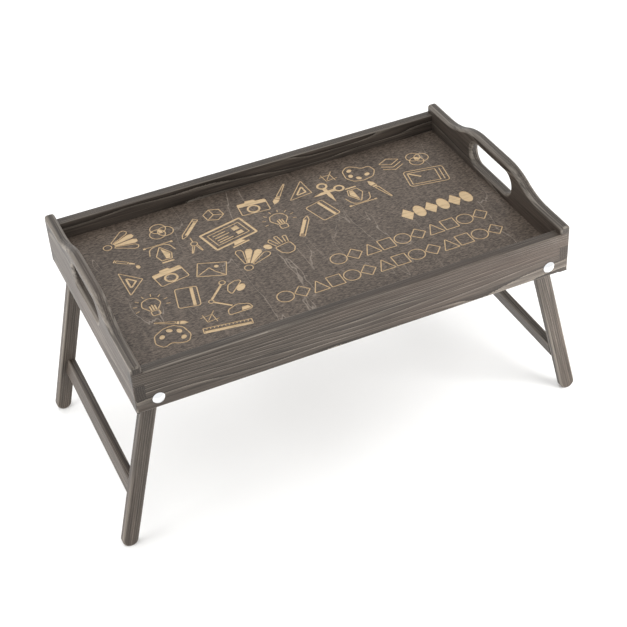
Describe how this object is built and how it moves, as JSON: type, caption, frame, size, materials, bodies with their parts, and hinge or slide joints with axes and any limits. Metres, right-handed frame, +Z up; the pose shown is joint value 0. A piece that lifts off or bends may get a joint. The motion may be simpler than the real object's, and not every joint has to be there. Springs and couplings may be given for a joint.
{
  "type": "folding tray table",
  "caption": "Wooden bed tray with raised hand-hole ends, finger-jointed corners and splayed leg frames that turn on bolts and fold flat beneath its panel.",
  "frame": {"origin": "on the floor under the middle of the tray, with the leg frames open", "axes": "+X along the tray's length towards the right end board, +Y to the rear rail, +Z up"},
  "size_m": [0.5704, 0.3066, 0.2769],
  "materials": {
    "rail_ash": "grey-brown stained ash, open grain, matt lacquer",
    "end_ash": "grey-brown stained ash, sanded round edges, matt lacquer",
    "leg_ash": "grey-brown stained ash, matt lacquer",
    "panel_ply": "dark stained birch plywood, fine grain, matt lacquer",
    "dowel_beech": "plain beech dowel",
    "zinc_steel": "bright zinc-plated steel",
    "spacer_nylon": "black moulded nylon"
  },
  "bodies": {
    "tray": {"front_rail": "rail_ash", "rear_rail": "rail_ash", "left_end_board": "end_ash", "right_end_board": "end_ash", "tray_panel": "panel_ply", "left_front_bolt": "zinc_steel", "left_rear_bolt": "zinc_steel", "right_front_bolt": "zinc_steel", "right_rear_bolt": "zinc_steel", "left_front_spacer": "spacer_nylon", "left_rear_spacer": "spacer_nylon", "right_front_spacer": "spacer_nylon", "right_rear_spacer": "spacer_nylon", "left_front_washer": "zinc_steel", "left_rear_washer": "zinc_steel", "right_front_washer": "zinc_steel", "right_rear_washer": "zinc_steel", "left_front_nut": "zinc_steel", "left_rear_nut": "zinc_steel", "right_front_nut": "zinc_steel", "right_rear_nut": "zinc_steel"},
    "left_legs": {"left_front_leg": "leg_ash", "left_rear_leg": "leg_ash", "left_stretcher": "leg_ash", "left_dowels": "dowel_beech"},
    "right_legs": {"right_front_leg": "leg_ash", "right_rear_leg": "leg_ash", "right_stretcher": "leg_ash", "right_dowels": "dowel_beech"}
  },
  "joints": [
    {"name": "left_fold", "type": "hinge", "parent": "tray", "child": "left_legs", "pos_m": [-0.22558, 0, 0.21187], "axis": [0, -1, 0], "range_deg": [0, 104]},
    {"name": "right_fold", "type": "hinge", "parent": "tray", "child": "right_legs", "pos_m": [0.22558, 0, 0.21187], "axis": [0, 1, 0], "range_deg": [0, 104]}
  ]
}
